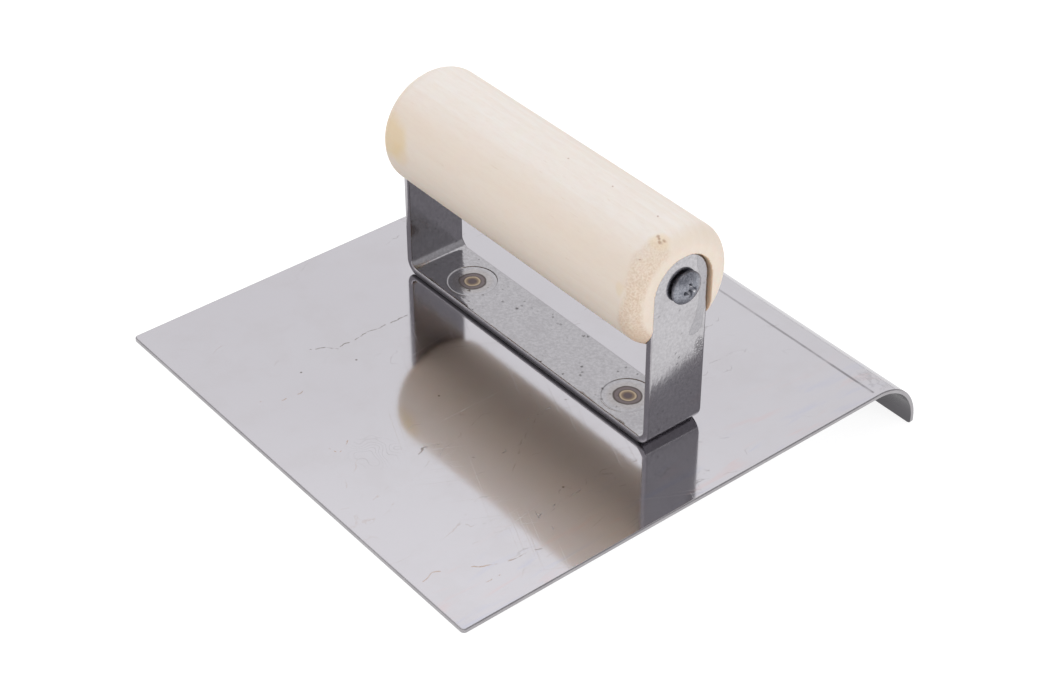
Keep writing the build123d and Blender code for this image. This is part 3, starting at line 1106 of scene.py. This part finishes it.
def wear_handle(mesh, wood):
    """Hand-finished unevenness of the surface, and the masks that the wood's material reads."""
    co = vertex_vectors(mesh, "co")
    normals = vertex_vectors(mesh, "normal")
    x, y, z = co[:, 0], co[:, 1] - strap_centre, co[:, 2] - axis_height
    ragged = np.array([noise.noise(Vector(p) * 220) for p in co])
    lumps = np.array([noise.noise(Vector((p[0] * 60, p[1] * 110, p[2] * 110))) for p in co])
    cut = slot_mask(abs(x), y, co[:, 2] - ear_centre)
    end_grain = end_grain_mask(x, y, z, ragged, lumps) * (1 - cut)

    outside = smooth(np.hypot(y, z), 9.8 * MM, 10.4 * MM)
    worn = (0.05 + 0.05 * lumps) * outside + (0.06 + 0.06 * ragged) * end_grain
    co -= normals * (np.clip(worn, 0, None) * MM)[:, None]
    mesh.vertices.foreach_set("co", co.ravel())
    for name, values in (("end_grain", end_grain), ("cut", cut)):
        attribute = mesh.attributes.new(name, "FLOAT", "POINT")
        attribute.data.foreach_set("value", values.astype(np.float32))
    mesh.materials.append(wood)
    mesh.shade_smooth()
    mesh.update()
    return in_scene("turned_handle", mesh)


# ---- assembly ------------------------------------------------------------------------------

def stand_for(piece, slot, *nodes):
    """The piece rides on the tool and is shown in place of the CAD nodes."""
    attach(piece, "root")
    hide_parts(*nodes)


steel_sheet = stainless("stainless_sheet")
steel_strap = bracket_steel("bracket_steel")
zinc = screw_zinc("screw_zinc")

blade_piece = make_blade(steel_sheet, sheared_edge("stainless_edge"), working_face("stainless_underside"))
stand_for(blade_piece, "stainless_sheet", "blade")
stand_for(make_bracket(steel_strap, bracket_edge("bracket_edge")), "bracket_steel", "handle_bracket")
stand_for(wear_handle(carve_handle(), handle_wood("handle_wood")), "handle_wood", "wooden_handle")
stand_for(make_screw("screw_front", 1, zinc), "screw_zinc", "handle_screw_front")
stand_for(make_screw("screw_rear", -1, zinc), "screw_zinc", "handle_screw_rear")

nugget_metal = weld_steel("weld_steel")
for node in ("spot_weld_front", "spot_weld_rear"):
    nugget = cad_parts[node]
    nugget.data.materials.clear()
    nugget.data.materials.append(nugget_metal)


# ---- floor, lights, camera -----------------------------------------------------------------

def make_floor():
    """Pale floor that the tool rests on with its lip's lower edge and its front edge."""
    touch_lip = Vector((0, blade_high.y - SHEET, 0))
    touch_front = Vector((0, blade_front, blade_top - SHEET))
    slope = (touch_lip.z - touch_front.z) / (touch_lip.y - touch_front.y)
    half = 3.0
    corners = [(-half, -half), (half, -half), (half, half), (-half, half)]
    points = [(x, y, (y - touch_lip.y) * slope) for x, y in corners]
    shader = Shader("floor_white")
    shader.base(shader.noise(300.0), (0.30, 0.30, 0.30, 1.0), (0.32, 0.32, 0.32, 1.0))
    material = shader.finish(0.9, metallic=0.0, specular=0.0, Emission_Color=(1.0, 1.0, 1.0, 1.0),
                             Emission_Strength=0.86)
    new_piece("floor", points, [(0, 1, 2, 3)], [material])


def softbox(name, direction, distance, width, height, radiance, in_reflections=True):
    """A rectangular soft light that faces the tool from a direction."""
    light = bpy.data.lights.new(name, "AREA")
    light.shape = "RECTANGLE"
    light.size = width
    light.size_y = height
    light.energy = radiance * pi * width * height
    lamp = in_scene(name, light)
    aim = Vector(direction).normalized()
    lamp.location = Vector((0, 0, blade_top)) + aim * distance
    lamp.rotation_mode = "QUATERNION"
    lamp.rotation_quaternion = aim.to_track_quat("Z", "Y")
    lamp.visible_glossy = in_reflections


WORLD_LEVEL = 0.34
WORLD_COLOUR = (1.0, 0.99, 1.03, 1.0)
# towards which direction, from which share of it to which, and how much is added there
WORLD_GLOWS = [((0.62, 0.50, 0.60), 0.5, 1.0, 0.16), ((0.0, -1.0, 0.0), -0.1, 0.5, 0.28)]


def make_world():
    """Soft surroundings: dimmest behind the tool, lighter in front of it and at the back right."""
    world = bpy.data.worlds.new("studio")
    world.use_nodes = True
    nodes = Nodes(world.node_tree)
    direction = nodes.node("TexCoord", {}).outputs["Generated"]
    strength = WORLD_LEVEL
    for towards, low, high, added in WORLD_GLOWS:
        share = nodes.measure("DOT_PRODUCT", direction, towards)
        strength = share.ramp(low, high, 0.0, added, easing="LINEAR") + strength
    backdrop = world.node_tree.nodes["Background"]
    nodes.feed(backdrop.inputs["Strength"], strength)
    nodes.feed(backdrop.inputs["Color"], WORLD_COLOUR)
    bpy.context.scene.world = world


CAMERA_PLACE = (0.38675, -0.31197, 0.40184)
CAMERA_AZIMUTH = radians(51.04)       # from straight in front of the blade, towards +X
CAMERA_ELEVATION = radians(37.60)
CAMERA_ROLL = radians(-0.187)
CAMERA_LENS = 77.98                   # in millimetres, on a sensor 36 wide


def make_camera():
    azimuth, elevation = CAMERA_AZIMUTH, CAMERA_ELEVATION
    back = Vector((sin(azimuth) * cos(elevation), -cos(azimuth) * cos(elevation), sin(elevation)))
    level = Vector((cos(azimuth), sin(azimuth), 0))
    upright = back.cross(level)
    right = cos(CAMERA_ROLL) * level + sin(CAMERA_ROLL) * upright
    up = cos(CAMERA_ROLL) * upright - sin(CAMERA_ROLL) * level
    data = bpy.data.cameras.new("camera")
    data.lens = CAMERA_LENS
    data.sensor_width = 36.0
    camera = in_scene("camera", data)
    turned = Matrix((right, up, back)).transposed().to_4x4()
    camera.matrix_world = Matrix.Translation(CAMERA_PLACE) @ turned
    bpy.context.scene.camera = camera


ABOVE = (-0.2, -0.22, 1.0)
make_floor()
softbox("back_softbox", (-0.63, 0.51, 0.55), distance=1.0, width=1.5, height=1.62, radiance=0.73)
softbox("top_softbox", ABOVE, distance=1.1, width=1.25, height=1.15, radiance=0.75)
softbox("top_fill", ABOVE, distance=1.15, width=1.25, height=1.15, radiance=0.17, in_reflections=False)
softbox("right_fill", (1.0, 0.15, 0.5), distance=1.2, width=1.0, height=0.8, radiance=1.8,
        in_reflections=False)
make_camera()
make_world()
bpy.context.scene.view_settings.view_transform = "Standard"
